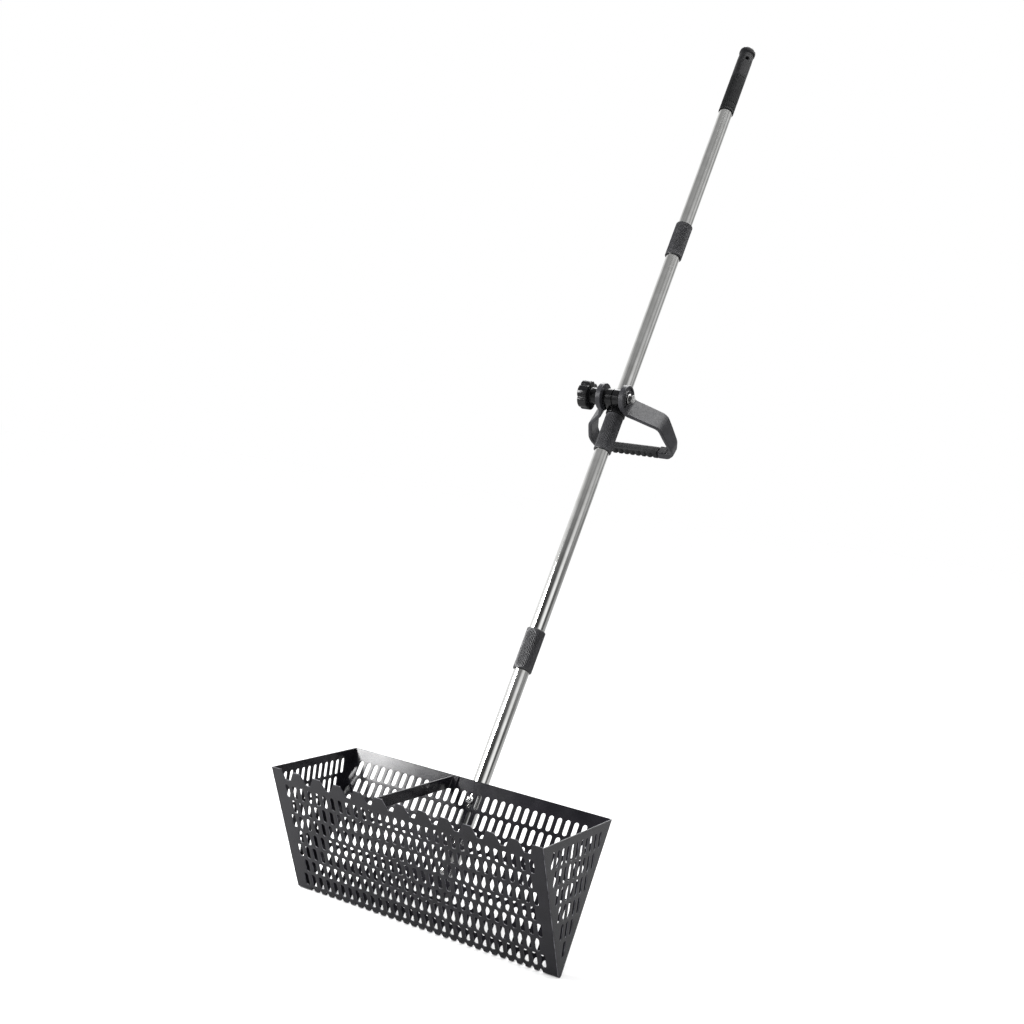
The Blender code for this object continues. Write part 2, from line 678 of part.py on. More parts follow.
def main():
    make_basket_sheet()
    make_end_panel("left_end_panel", -1)
    make_end_panel("right_end_panel", 1)
    make_cross_brace()
    pole = make_pole_frame()
    make_tubes(pole)
    make_plug(pole)
    for name, z in bolt_heights().items():
        make_tube_bolt(name, z, pole)
    for name, z in zip(("lower", "middle", "upper"), SECTION_JOINTS):
        make_section_joint(name, z, pole)
    make_hand_grip(pole)
    make_handle_bracket(pole)
    pivot = empty("loop_pivot", (0, -PIVOT_FORWARD, PIVOT_HEIGHT), (-LOOP_TILT, 0, 0), pole)
    make_handle_loop(pivot)
    make_pivot_bolt(pivot)
    make_knob(pivot)


main()
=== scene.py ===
"""Looks of the beach sand scoop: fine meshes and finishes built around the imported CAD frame.

Everything is in metres in the CAD's own frame. Most pieces are made in the pole's frame (x across,
y behind the pole, z up the pole) or the D-handle's pivot frame (x along the pivot, y away from it
along the loop, z across the strap) and then laid into the row frame.
"""

import json
import math

import bmesh
import bpy
from mathutils import Matrix, Vector


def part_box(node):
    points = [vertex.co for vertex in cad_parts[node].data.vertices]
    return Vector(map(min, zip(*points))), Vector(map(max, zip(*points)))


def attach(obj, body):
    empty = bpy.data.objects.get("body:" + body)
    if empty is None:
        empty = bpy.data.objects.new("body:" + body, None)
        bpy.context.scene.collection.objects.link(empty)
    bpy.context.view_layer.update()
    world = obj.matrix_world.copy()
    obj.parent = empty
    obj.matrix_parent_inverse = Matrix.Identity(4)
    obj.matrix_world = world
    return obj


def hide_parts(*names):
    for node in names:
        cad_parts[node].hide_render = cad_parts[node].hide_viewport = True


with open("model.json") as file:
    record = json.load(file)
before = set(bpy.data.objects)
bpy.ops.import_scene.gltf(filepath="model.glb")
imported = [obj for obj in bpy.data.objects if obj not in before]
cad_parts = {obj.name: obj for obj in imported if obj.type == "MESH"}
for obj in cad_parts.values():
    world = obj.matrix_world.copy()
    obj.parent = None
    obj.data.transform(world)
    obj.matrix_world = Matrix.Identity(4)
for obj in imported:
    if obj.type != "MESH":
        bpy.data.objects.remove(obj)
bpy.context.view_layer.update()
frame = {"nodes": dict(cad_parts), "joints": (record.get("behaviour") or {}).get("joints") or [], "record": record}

JOINTS = {joint["name"]: joint for joint in frame["joints"]}
BODY_OF = {
    node: body for body, nodes in frame["record"]["behaviour"]["bodies"].items() for node in nodes
}
SLOT_OF = {part["node"]: part["material_slot"] for part in frame["record"]["subparts"]}

# ---- sizes the CAD also states ----
GAP = 0.0003
SHEET = 0.0015
DEVELOPED = 0.400                 # the sheet laid flat, from the back edge to the tips of the teeth
TUBE_R = 0.011
TUBE_WALL = 0.0012
COLLAR_R = 0.0135
GRIP_R = 0.0125
BUSH_R = 0.0125
LOOP_TILT = math.radians(18)
PIVOT_HOLE_R = 0.0043

# ---- perforation ----
SLOT_WIDTH = 0.0064
SLOT_LENGTH = 0.0208
SLOT_PITCH = 0.01205
ROW_PITCH = 0.0243
FIRST_ROW = 0.0161
ROWS = 15
WIDE_ROW_SLOTS = 31
END_SLOT_PITCH = 0.0124
END_ROW_PITCH = 0.0244
END_FIRST_ROW = 0.0108
END_ROW_SLOTS = (11, 9, 7, 5, 3, 1)
SLOT_END_STEPS = 7
TOOTH_PITCH = 0.032
TEETH_EACH_SIDE = 5
TOOTH_DEPTH = 0.015
TOOTH_TIP = 0.0055
TOOTH_ROOT = 0.0125
LIP_END_TIP = 0.1845
LIP_END_ROOT = 0.1810
TOOTH_CORNER = 0.0012
EDGE = 0.00028                    # rounding of the cut sheet's edges
BEND_STEPS = 14

ROUND = 96                        # sides of a tube
HOLE_ROUND = 48
PIN_ROUND = 40
BOLT_ROUND = 64
SMOOTH_UNDER = 35                 # degrees
CRISP = 0.0001                    # rounding where an edge should look sharp
CUT_CORNER = 0.00005              # rounding of a cutter's edges
DRILL_REACH = 0.02                # each way from the middle of the tube

# ---- frames ----
UP_POLE = Vector(JOINTS["handle_swivel"]["axis"]).normalized()
POLE_POINT = Vector(JOINTS["handle_swivel"]["pos_m"])
PIVOT_POINT = Vector(JOINTS["loop_tilt"]["pos_m"])
LEAN = math.atan2(UP_POLE.y, UP_POLE.z)
BEHIND = Vector((0, math.cos(LEAN), -math.sin(LEAN)))
POLE = Matrix.Translation(POLE_POINT) @ Matrix.Rotation(-LEAN, 4, "X")
PIVOT = Matrix.Translation(PIVOT_POINT) @ Matrix.Rotation(-LEAN - LOOP_TILT, 4, "X")
ALONG_X = Matrix.Rotation(math.pi / 2, 4, "Y")          # lays a piece made along z onto +x
FORWARD = Matrix.Rotation(math.pi / 2, 4, "X")          # lays a piece made along z onto -y
EDGE_ON = Matrix(((0, 0, 1, 0), (1, 0, 0, 0), (0, 1, 0, 0), (0, 0, 0, 1)))


def at(x=0.0, y=0.0, z=0.0):
    return Matrix.Translation((x, y, z))


def span(node, place=POLE, axis=2):
    """Lowest and highest place of a CAD node along one axis of this frame."""
    inside = place.inverted()
    reach = [(inside @ vert.co)[axis] for vert in frame["nodes"][node].data.vertices]
    return min(reach), max(reach)


# ---- mesh tools ----
def mesh_of(obj, weld=1e-6):
    """The evaluated mesh of a helper object, welded. The helper is removed."""
    bpy.context.view_layer.update()
    graph = bpy.context.evaluated_depsgraph_get()
    mesh = bpy.data.meshes.new_from_object(obj.evaluated_get(graph))
    bpy.data.objects.remove(obj, do_unlink=True)
    model = bmesh.new()
    model.from_mesh(mesh)
    bmesh.ops.remove_doubles(model, verts=model.verts, dist=weld)
    bmesh.ops.dissolve_degenerate(model, edges=model.edges, dist=weld)
    bmesh.ops.recalc_face_normals(model, faces=model.faces)
    model.to_mesh(mesh)
    model.free()
    return mesh


def helper(name, data):
    obj = bpy.data.objects.new(name, data)
    bpy.context.scene.collection.objects.link(obj)
    return obj


def soften(points, closed=True, steps=5):
    """The line with an arc at each corner that gives a radius as its third value."""
    out = []
    last = len(points) - 1
    for i, point in enumerate(points):
        corner = Vector(point[:2])
        if len(point) < 3 or (not closed and i in (0, last)):
            out.append(tuple(corner))
            continue
        before = Vector(points[i - 1][:2]) - corner
        after = Vector(points[(i + 1) % len(points)][:2]) - corner
        half = before.angle(after) / 2
        reach = min(point[2] / math.tan(half), before.length * 0.49, after.length * 0.49)
        start = corner + before.normalized() * reach
        end = corner + after.normalized() * reach
        bisector = (before.normalized() + after.normalized()).normalized()
        centre = corner + bisector * math.hypot(reach, reach * math.tan(half))
        turn = (start - centre).angle_signed(end - centre)
        for step in range(steps + 1):
            spoke = Matrix.Rotation(-turn * step / steps, 2) @ (start - centre)
            out.append(tuple(centre + spoke))
    return out


def skin(rings, closed=False):
    """A mesh over rings of equally many points. A ring of one point closes an end."""
    model = bmesh.new()
    loops = [[model.verts.new(point) for point in ring] for ring in rings]
    pairs = list(zip(loops, loops[1:]))
    if closed:
        pairs.append((loops[-1], loops[0]))
    for a, b in pairs:
        count = max(len(a), len(b))
        for i in range(count):
            j = (i + 1) % count
            if len(a) == 1:
                model.faces.new((a[0], b[i], b[j]))
            elif len(b) == 1:
                model.faces.new((a[i], a[j], b[0]))
            else:
                model.faces.new((a[i], a[j], b[j], b[i]))
    if not closed:
        for end in (loops[0], loops[-1]):
            if len(end) > 1:
                model.faces.new(end)
    bmesh.ops.recalc_face_normals(model, faces=model.faces)
    mesh = bpy.data.meshes.new("skin")
    model.to_mesh(mesh)
    model.free()
    return mesh


def turned(profile, sides=ROUND, shape=None):
    """A solid of revolution about z from (radius, z[, corner radius]) points, down the outside.

    shape(angle, radius, z) may change a ring's radius, for ribs and lobes.
    """
    closed = profile[0][0] > 0
    rings = []
    for radius, z in soften(profile, closed):
        if radius == 0:
            rings.append([(0, 0, z)])
            continue
        ring = []
        for i in range(sides):
            angle = 2 * math.pi * i / sides
            reach = shape(angle, radius, z) if shape else radius
            ring.append((reach * math.cos(angle), reach * math.sin(angle), z))
        rings.append(ring)
    return skin(rings, closed)


def sleeve(inner, outer, low, high, corner):
    return [(outer, high, corner), (outer, low, corner), (inner, low, corner / 2), (inner, high, corner / 2)]


def rod(radius, low, high, corner):
    return [(0, high), (radius, high, corner), (radius, low, corner), (0, low)]


def plate(outlines, thickness, edge=EDGE):
    """A flat plate in xy with rounded edges, centred on z=0. Outlines after the first are holes."""
    curve = bpy.data.curves.new("outline", "CURVE")
    curve.dimensions = "2D"
    curve.fill_mode = "BOTH"
    curve.extrude = thickness / 2 - edge
    curve.bevel_depth = edge
    curve.bevel_resolution = 1
    curve.offset = -edge
    for outline in outlines:
        spline = curve.splines.new("POLY")
        spline.points.add(len(outline) - 1)
        for point, (x, y) in zip(spline.points, outline):
            point.co = (x, y, 0, 1)
        spline.use_cyclic_u = True
    return mesh_of(helper("outline", curve))


def combine(mesh, other, operation="DIFFERENCE"):
    """The first mesh after a Boolean with the second, both in one frame."""
    body, tool = helper("body", mesh), helper("tool", other)
    modifier = body.modifiers.new("boolean", "BOOLEAN")
    modifier.operation = operation
    modifier.solver = "EXACT"
    modifier.object = tool
    made = mesh_of(body)
    bpy.data.objects.remove(tool, do_unlink=True)
    return made


def placed(mesh, place):
    mesh.transform(place)
    return mesh


def circle(radius, sides=48):
    turn = [2 * math.pi * (i + 0.5) / sides for i in range(sides)]
    return [(radius * math.cos(a), radius * math.sin(a)) for a in turn]


def hexagon(flats, corner=0.0):
    points = circle(flats / 2 / math.cos(math.pi / 6), 6)
    return soften([(x, y, corner) for x, y in points], steps=3) if corner else points


def show(node, mesh, place=Matrix(), angle=SMOOTH_UNDER, weighted=False, shade=1.0):
    """One finished piece: stands for its CAD node, rides on its body and wears its slot's finish.

    Edges under this angle are smooth, and shade darkens the slot's finish for one piece.
    """
    mesh.transform(place)
    mesh.materials.clear()
    mesh.materials.append(make_finish(node, FINISHES[SLOT_OF[node]], shade))
    mesh.shade_smooth()
    mesh.set_sharp_from_angle(angle=math.radians(angle))
    obj = helper(f"{node}_shown", mesh)
    if weighted:
        modifier = obj.modifiers.new("flat faces stay flat", "WEIGHTED_NORMAL")
        modifier.keep_sharp = True
    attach(obj, BODY_OF[node])
    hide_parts(node)


# ---- finishes ----
# colours: the two that the surface drifts between, over a noise of this scale
# rough: lowest and highest roughness, over a noise of its own scale and stretch
# bumps: (noise scale, stretch along the pole, distance, strength), coarse to fine
# lighter_edges: a lighter colour painted on the rounded edges, in patches, where a mesh carries the "edge"
# attribute
# specular: strength of the shine, 0.5 where not given
FINISHES = {
    "black_coat": {
        "colours": ((0.0050, 0.0048, 0.0066), (0.0090, 0.0086, 0.0116)), "scale": 38, "specular": 0.33,
        "rough": (0.16, 0.22), "rough_scale": (30, 1), "metallic": 0, "lighter_edges": (0.10, 0.10, 0.11),
        "bumps": ((17, 1, 0.0006, 0.15), (1100, 1, 0.00005, 0.25)),
    },
    "stainless_tube": {
        "colours": ((0.60, 0.60, 0.585), (0.70, 0.70, 0.69)), "scale": 60,
        "rough": (0.07, 0.17), "rough_scale": (700, 0.010), "metallic": 1,
        "bumps": ((900, 0.006, 0.00002, 0.35), (60, 0.05, 0.0001, 0.08)),
    },
    "bright_steel": {
        "colours": ((0.66, 0.66, 0.66), (0.76, 0.76, 0.75)), "scale": 300,
        "rough": (0.12, 0.24), "rough_scale": (600, 1), "metallic": 1,
        "bumps": ((1500, 1, 0.00002, 0.3),),
    },
    "aluminium": {
        "colours": ((0.52, 0.53, 0.55), (0.62, 0.63, 0.65)), "scale": 90,
        "rough": (0.24, 0.38), "rough_scale": (300, 30), "metallic": 1,
        "bumps": ((200, 18, 0.00003, 0.5),),
    },
    "black_plastic": {
        "colours": ((0.014, 0.014, 0.0155), (0.026, 0.026, 0.029)), "scale": 120, "specular": 0.42,
        "rough": (0.36, 0.52), "rough_scale": (200, 1), "metallic": 0,
        "bumps": ((2200, 1, 0.00005, 0.4),),
    },
    "gloss_black_plastic": {
        "colours": ((0.006, 0.006, 0.007), (0.011, 0.011, 0.012)), "scale": 90,
        "rough": (0.15, 0.28), "rough_scale": (110, 1), "metallic": 0,
        "bumps": ((260, 1, 0.00012, 0.12), (2400, 1, 0.00003, 0.2)),
    },
    "dark_grey_plastic": {
        "colours": ((0.016, 0.016, 0.018), (0.026, 0.026, 0.029)), "scale": 70, "specular": 0.28,
        "rough": (0.30, 0.42), "rough_scale": (160, 1), "metallic": 0,
        "bumps": ((130, 1, 0.00025, 0.12), (1900, 1, 0.00006, 0.35)),
    },
    "black_rubber": {
        "colours": ((0.006, 0.0064, 0.007), (0.012, 0.0125, 0.013)), "scale": 150, "specular": 0.18,
        "rough": (0.50, 0.70), "rough_scale": (300, 1), "metallic": 0,
        "bumps": ((420, 1, 0.00018, 0.35), (1700, 1, 0.00006, 0.4)),
    },
}


def add_node(tree, kind, inputs=None, **settings):
    """A shader node with its inputs set to values or linked from other nodes' sockets."""
    node = tree.nodes.new(kind)
    for name, value in settings.items():
        setattr(node, name, value)
    for name, value in (inputs or {}).items():
        if isinstance(value, bpy.types.NodeSocket):
            tree.links.new(value, node.inputs[name])
        else:
            node.inputs[name].default_value = value
    return node


def noise(tree, vector, scale, stretch, detail=3.0):
    """Noise over the pole's own directions. A stretch under 1 draws it out along the pole."""
    mapping = add_node(
        tree, "ShaderNodeMapping", {"Vector": vector, "Rotation": (LEAN, 0, 0)}
    )
    scaled = add_node(
        tree, "ShaderNodeVectorMath", {0: mapping.outputs[0], 1: (1, 1, stretch)}, operation="MULTIPLY"
    )
    texture = add_node(
        tree, "ShaderNodeTexNoise", {"Vector": scaled.outputs[0], "Scale": scale, "Detail": detail}
    )
    return texture.outputs["Fac"]


def between(tree, value, low, high, from_low=0.3, from_high=0.7):
    return add_node(
        tree, "ShaderNodeMapRange",
        {"Value": value, "From Min": from_low, "From Max": from_high, "To Min": low, "To Max": high},
    ).outputs["Result"]


def make_finish(name, look, shade):
    material = bpy.data.materials.new(f"{name}_finish")
    material.use_nodes = True
    tree = material.node_tree
    shader = tree.nodes["Principled BSDF"]
    place = add_node(tree, "ShaderNodeTexCoord").outputs["Object"]

    drift = between(tree, noise(tree, place, look["scale"], 1), 0, 1)
    dark, light = ([value * shade for value in colour] + [1] for colour in look["colours"])
    colour = add_node(
        tree, "ShaderNodeMix", {"Factor": drift, 6: dark, 7: light}, data_type="RGBA"
    ).outputs[2]
    roughness = between(tree, noise(tree, place, *look["rough_scale"]), *look["rough"])
    # Paints a lighter colour on the rounded edges, in random patches.
    if "lighter_edges" in look:
        edge = add_node(tree, "ShaderNodeAttribute", attribute_name="edge").outputs["Fac"]
        patches = between(tree, noise(tree, place, 90, 1), 0.25, 1, 0.4, 0.65)
        lighter_edges = add_node(tree, "ShaderNodeMath", {0: edge, 1: patches}, operation="MULTIPLY").outputs[0]
        colour = add_node(
            tree, "ShaderNodeMix", {"Factor": lighter_edges, 6: colour, 7: (*look["lighter_edges"], 1)}, data_type="RGBA"
        ).outputs[2]
    normal = None
    for scale, stretch, distance, strength in look["bumps"]:
        inputs = {
            "Height": noise(tree, place, scale, stretch, 2.0), "Distance": distance, "Strength": strength
        }
        if normal:
            inputs["Normal"] = normal
        normal = add_node(tree, "ShaderNodeBump", inputs).outputs[0]
    tree.links.new(colour, shader.inputs["Base Color"])
    tree.links.new(roughness, shader.inputs["Roughness"])
    tree.links.new(normal, shader.inputs["Normal"])
    shader.inputs["Metallic"].default_value = look["metallic"]
    shader.inputs["Specular IOR Level"].default_value = look.get("specular", 0.5) * shade
    return material


# ---- the folded basket ----
PANEL_TOP = POLE_POINT - BEHIND * (TUBE_R + GAP + SHEET / 2)      # mid-thickness of the back top edge
APEX_REACH = PANEL_TOP.y / math.sin(LEAN)                         # down the panel to where the two meet
HALF_TURN = math.pi / 2 - LEAN
BEND_R = (APEX_REACH - DEVELOPED / 2) / (math.tan(HALF_TURN) - HALF_TURN)
BEND_START = APEX_REACH - BEND_R * math.tan(HALF_TURN)
BEND_CENTRE = PANEL_TOP.z - APEX_REACH * math.cos(LEAN) + BEND_R / math.sin(LEAN)


def fold(across, outside):
    """(y, z) of a point of the bent sheet: across from the back edge, and outside its middle."""
    if across > DEVELOPED / 2:
        y, z = fold(DEVELOPED - across, outside)
        return -y, z
    if across <= BEND_START:
        point = PANEL_TOP - UP_POLE * across + BEHIND * outside
        return point.y, point.z
    angle = HALF_TURN - (across - BEND_START) / BEND_R
    reach = BEND_R + outside
    return reach * math.sin(angle), BEND_CENTRE - reach * math.cos(angle)


def obround(x, low):
    """A slot with round ends, standing on low."""
    radius = SLOT_WIDTH / 2
    points = []
    for middle, start in ((low + SLOT_LENGTH - radius, 0), (low + radius, math.pi)):
        for i in range(SLOT_END_STEPS + 1):
            angle = start + math.pi * i / SLOT_END_STEPS
            points.append((x + radius * math.cos(angle), middle + radius * math.sin(angle)))
    return points


def sheet_outline(half):
    tip, root, corner = DEVELOPED, DEVELOPED - TOOTH_DEPTH, TOOTH_CORNER
    outline = [(-half, 0, 0.0008), (half, 0, 0.0008), (half, tip, corner)]
    outline += [(LIP_END_TIP, tip, corner), (LIP_END_ROOT, root, corner)]
    for k in range(TEETH_EACH_SIDE, -TEETH_EACH_SIDE - 1, -1):
        x = k * TOOTH_PITCH
        outline += [(x + TOOTH_ROOT, root, corner), (x + TOOTH_TIP, tip, corner)]
        outline += [(x - TOOTH_TIP, tip, corner), (x - TOOTH_ROOT, root, corner)]
    outline += [(-LIP_END_ROOT, root, corner), (-LIP_END_TIP, tip, corner), (-half, tip, corner)]
    return soften(outline, steps=4)


def mark_edges(model, thickness):
    """Stores 1 on the vertices of the rounded edges of a flat plate, and 0 on its faces."""
    layer = model.verts.layers.float.new("edge")
    for vert in model.verts:
        vert[layer] = float(abs(vert.co.z) < thickness / 2 - EDGE / 2)


def build_sheet():
    low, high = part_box("basket_sheet")
    outlines = [sheet_outline((high.x - low.x) / 2)]
    for row in range(ROWS):
        count = WIDE_ROW_SLOTS - row % 2
        for i in range(count):
            outlines.append(obround((i - (count - 1) / 2) * SLOT_PITCH, FIRST_ROW + row * ROW_PITCH))
    mesh = plate(outlines, SHEET)
    model = bmesh.new()
    model.from_mesh(mesh)
    arc = DEVELOPED - 2 * BEND_START
    for i in range(BEND_STEPS + 1):
        bmesh.ops.bisect_plane(
            model, geom=model.verts[:] + model.edges[:] + model.faces[:], dist=1e-7,
            plane_co=(0, BEND_START + arc * i / BEND_STEPS, 0), plane_no=(0, 1, 0),
        )
    mark_edges(model, SHEET)
    for vert in model.verts:
        vert.co = (vert.co.x, *fold(vert.co.y, -vert.co.z))
    bmesh.ops.recalc_face_normals(model, faces=model.faces)
    model.to_mesh(mesh)
    model.free()
    show("basket_sheet", mesh, weighted=True)


def build_end_panel(node):
    low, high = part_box(node)
    arc = DEVELOPED - 2 * BEND_START
    stations = [0] + [BEND_START + arc * i / BEND_STEPS for i in range(BEND_STEPS + 1)] + [DEVELOPED]
    outlines = [[fold(across, SHEET / 2) for across in stations]]
    for row, count in enumerate(END_ROW_SLOTS):
        bottom = PANEL_TOP.z - END_FIRST_ROW - SLOT_LENGTH - row * END_ROW_PITCH
        for i in range(count):
            outlines.append(obround((i - (count - 1) / 2) * END_SLOT_PITCH, bottom))
    mesh = plate(outlines, high.x - low.x)
    model = bmesh.new()
    model.from_mesh(mesh)
    mark_edges(model, high.x - low.x)
    model.to_mesh(mesh)
    model.free()
    show(node, mesh, at(x=(low.x + high.x) / 2) @ EDGE_ON, weighted=True)


BRACE_SHEET = 0.002
BRACE_BEND = 0.0028               # at the middle of the strip's thickness


def build_brace():
    """A strip on edge across the opening, bent at each end into a foot that lies on the panel."""
    low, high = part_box("cross_brace")
    middle_x = low.x + BRACE_SHEET / 2
    inset = (SHEET / 2 + GAP + BRACE_SHEET / 2) / math.cos(LEAN)
    rows = []
    for step in range(7):
        z = low.z + (high.z - low.z) * step / 6
        wall = PANEL_TOP.y - (PANEL_TOP.z - z) * math.tan(LEAN) - inset
        half = soften(
            [(high.x, wall), (middle_x, wall, BRACE_BEND), (middle_x, 0)], closed=False, steps=8
        )
        line = half + [(x, -y) for x, y in reversed(half[:-1])]
        rows.append([(x, y, z) for x, y in line])
    model = bmesh.new()
    grid = [[model.verts.new(point) for point in row] for row in rows]
    for a, b in zip(grid, grid[1:]):
        for i in range(len(a) - 1):
            model.faces.new((a[i], a[i + 1], b[i + 1], b[i]))
    mesh = bpy.data.meshes.new("brace")
    model.to_mesh(mesh)
    model.free()
    strip = helper("brace", mesh)
    thick = strip.modifiers.new("thickness", "SOLIDIFY")
    thick.thickness = BRACE_SHEET
    thick.offset = 0
    thick.use_even_offset = True
    bevel = strip.modifiers.new("edges", "BEVEL")
    bevel.width = 0.0004
    bevel.segments = 3
    bevel.angle_limit = math.radians(50)
    show("cross_brace", mesh_of(strip), weighted=True)


# ---- the pole ----
THREAD_PITCH = 0.0008
THREAD_DEPTH = 0.00038
TUBE_EDGE = 0.0003
SPIGOT_EDGE = 0.0012
TUBE_BOLT_R = 0.0025
TUBE_BOLT_HOLE_R = 0.0028
TUBE_BOLT_THREAD = 0.012          # length of its thread
TUBE_BOLT_SOCKET = 0.003          # across its flats
TUBE_NUT_FLATS = 0.0080
TUBE_NUT_BORE = 0.0026
DOME_ANGLES = (0.25, 0.5, 0.75, 1.0, 1.25, 1.45)
NUT_FACE = 0.98                   # of the flats, across the nut's flat face
NUT_CHAMFER_DROP = 0.75           # of the corner's overhang past the flats
NUT_SINK = 0.0004


def threaded(radius, low, high):
    """Profile points of a threaded stretch, from high down to low."""
    turns = max(1, round((high - low) / THREAD_PITCH))
    pitch = (high - low) / turns
    points = []
    for i in range(turns):
        top = high - i * pitch
        points += [(radius, top), (radius, top - pitch * 0.3), (radius - THREAD_DEPTH, top - pitch * 0.6)]
    return points + [(radius, low)]


def hex_nut(flats, thickness, bore):
    """A nut along z, centred on z=0, its corners chamfered on a lathe and its bore countersunk."""
    corner = flats / 2 / math.cos(math.pi / 6)
    drop = (corner - flats / 2) * NUT_CHAMFER_DROP
    nut = plate([hexagon(flats)], thickness, CUT_CORNER)
    half = thickness / 2
    face, past = flats / 2 * NUT_FACE, corner + 0.0002
    blank = [
        (0, half), (face, half), (past, half - drop), (past, drop - half), (face, -half), (0, -half),
    ]
    nut = combine(nut, turned(blank), "INTERSECT")
    wide = bore + NUT_SINK + 0.001
    drill = [
        (0, half + 0.001), (wide, half + 0.001), (bore, half - NUT_SINK),
        (bore, NUT_SINK - half), (wide, -half - 0.001), (0, -half - 0.001),
    ]
    return combine(nut, turned(drill, HOLE_ROUND))


def washer(inner, outer, thickness):
    return turned(sleeve(inner, outer, -thickness / 2, thickness / 2, thickness * 0.3), BOLT_ROUND)


def build_tube(node):
    low, high = span(node)
    mesh = turned(sleeve(TUBE_R - TUBE_WALL, TUBE_R, low, high, TUBE_EDGE))
    if node == "bottom_tube":
        for bolt in ("upper", "lower"):
            centre = sum(span(f"{bolt}_tube_washer")) / 2
            drill = turned(rod(TUBE_BOLT_HOLE_R, -DRILL_REACH, DRILL_REACH, CRISP), HOLE_ROUND)
            mesh = combine(mesh, placed(drill, at(z=centre) @ FORWARD))
    show(node, mesh, POLE)


def build_spigot(name):
    low, high = span(f"{name}_spigot")
    pin_low, pin_high = span(f"{name}_spigot_pin")
    inside = TUBE_R - TUBE_WALL - GAP
    mesh = turned(rod(inside, low, high, SPIGOT_EDGE))
    pin_r = (pin_high - pin_low) / 2
    centre = (pin_high + pin_low) / 2
    drill = turned(rod(pin_r + GAP, -DRILL_REACH, DRILL_REACH, CRISP), PIN_ROUND)
    mesh = combine(mesh, placed(drill, at(z=centre) @ FORWARD))
    show(f"{name}_spigot", mesh, POLE)
    reach = span(f"{name}_spigot_pin", axis=1)
    pin = turned(rod(pin_r, *reach, TUBE_EDGE), PIN_ROUND)
    show(f"{name}_spigot_pin", pin, POLE @ at(z=centre) @ FORWARD)


CAP_R = 0.0134
CAP_NECK_R = 0.0121
HANG_HOLE = 1.2780
HANG_HOLE_R = 0.0028
HANG_HOLE_TURN = math.radians(40)
COLLAR_RIBS = 38
RIB_DEPTH = 0.00075
COLLAR_RIM = 0.0035
COLLAR_RIM_ROUND = 0.0009
COLLAR_CORNER = 0.0016
COLLAR_STEPS = 14
GRIP_FLUTES = 24
GRIP_BAND = (0.004, 0.016)        # the ribbed band, above the grip's foot
GRIP_BAND_DEPTH = 0.00035
GRIP_FLUTE_DEPTH = 0.00012
GRIP_STEPS = 40
GRIP_RINGS = (0.017, 0.0165, 0.0155, 0.010, 0.0045, 0.0035, 0.0028)
GRIP_GROOVES = (0.0165, 0.0035)   # the rings that are cut in, above and below the band


def build_collar(node):
    """A screw collar: fine lengthwise ribs between two plain rounded rims."""
    low, high = span(node)
    bore = TUBE_R + GAP

    def ribs(angle, radius, z):
        if radius < COLLAR_R - COLLAR_RIM_ROUND:
            return radius
        fade = min(1.0, max(0.0, min(z - low, high - z) / COLLAR_RIM - 0.35) * 1.6)
        wave = 0.5 - 0.5 * math.cos(COLLAR_RIBS * angle)
        return radius - RIB_DEPTH * fade * (1 - wave ** 0.6)

    profile = [(COLLAR_R, high, COLLAR_CORNER)]
    for i in range(COLLAR_STEPS + 1):
        share = i / COLLAR_STEPS
        profile.append((COLLAR_R, high - COLLAR_RIM / 2 - (high - low - COLLAR_RIM) * share))
    profile += [(COLLAR_R, low, COLLAR_CORNER), (bore, low, 0.0004), (bore, high, 0.0004)]
    show(node, turned(profile, COLLAR_RIBS * 8, ribs), POLE)


def build_hand_grip():
    """A rubber sleeve with shallow flutes, a ribbed band at its foot and a soft upper rim."""
    low, high = span("hand_grip")
    bore = TUBE_R + GAP

    def surface(angle, radius, z):
        if radius < GRIP_R - 0.0004:
            return radius
        band = GRIP_BAND[0] < z - low < GRIP_BAND[1]
        depth = GRIP_BAND_DEPTH if band else GRIP_FLUTE_DEPTH
        return radius - depth * (0.5 - 0.5 * math.cos(GRIP_FLUTES * angle)) ** (0.5 if band else 2)

    profile = [(GRIP_R, high, 0.0008)]
    for i in range(GRIP_STEPS):
        profile.append((GRIP_R, high - 0.002 - (high - low - 0.020) * i / (GRIP_STEPS - 1)))
    for above in GRIP_RINGS:
        profile.append((GRIP_R - (0.0003 if above in GRIP_GROOVES else 0), low + above))
    profile += [(GRIP_R, low, 0.0009), (bore, low, 0.0003), (bore, high, 0.0003)]
    show("hand_grip", turned(profile, GRIP_FLUTES * 8, surface), POLE, shade=0.6)


def build_end_cap():
    """A mushroom-headed cap whose skirt covers the end of the tube, with a hole to hang it by."""
    low, high = span("grip_end_cap")
    inside = TUBE_R + GAP
    roof = span("top_tube")[1] + GAP
    profile = [
        (0, high), (CAP_R * 0.62, high - 0.0004, 0.008), (CAP_R, high - 0.0060, 0.006),
        (CAP_R, high - 0.0118, 0.003), (CAP_NECK_R, high - 0.0155, 0.003), (GRIP_R, HANG_HOLE, 0.02),
        (GRIP_R, low + 0.002), (GRIP_R, low, 0.0007), (inside, low, 0.0002), (inside, roof, 0.0004),
        (0, roof),
    ]
    mesh = turned(profile)
    mouth = HANG_HOLE_R + 0.0012
    drill = [
        (0, 0.03), (mouth, 0.03), (mouth, GRIP_R - 0.0002), (HANG_HOLE_R, GRIP_R - 0.0014),
        (HANG_HOLE_R, 0.0014 - GRIP_R), (mouth, 0.0002 - GRIP_R), (mouth, -0.03), (0, -0.03),
    ]
    across = at(z=HANG_HOLE) @ Matrix.Rotation(HANG_HOLE_TURN, 4, "Z") @ FORWARD
    mesh = combine(mesh, placed(turned(drill, PIN_ROUND), across))
    show("grip_end_cap", mesh, POLE, shade=0.4)


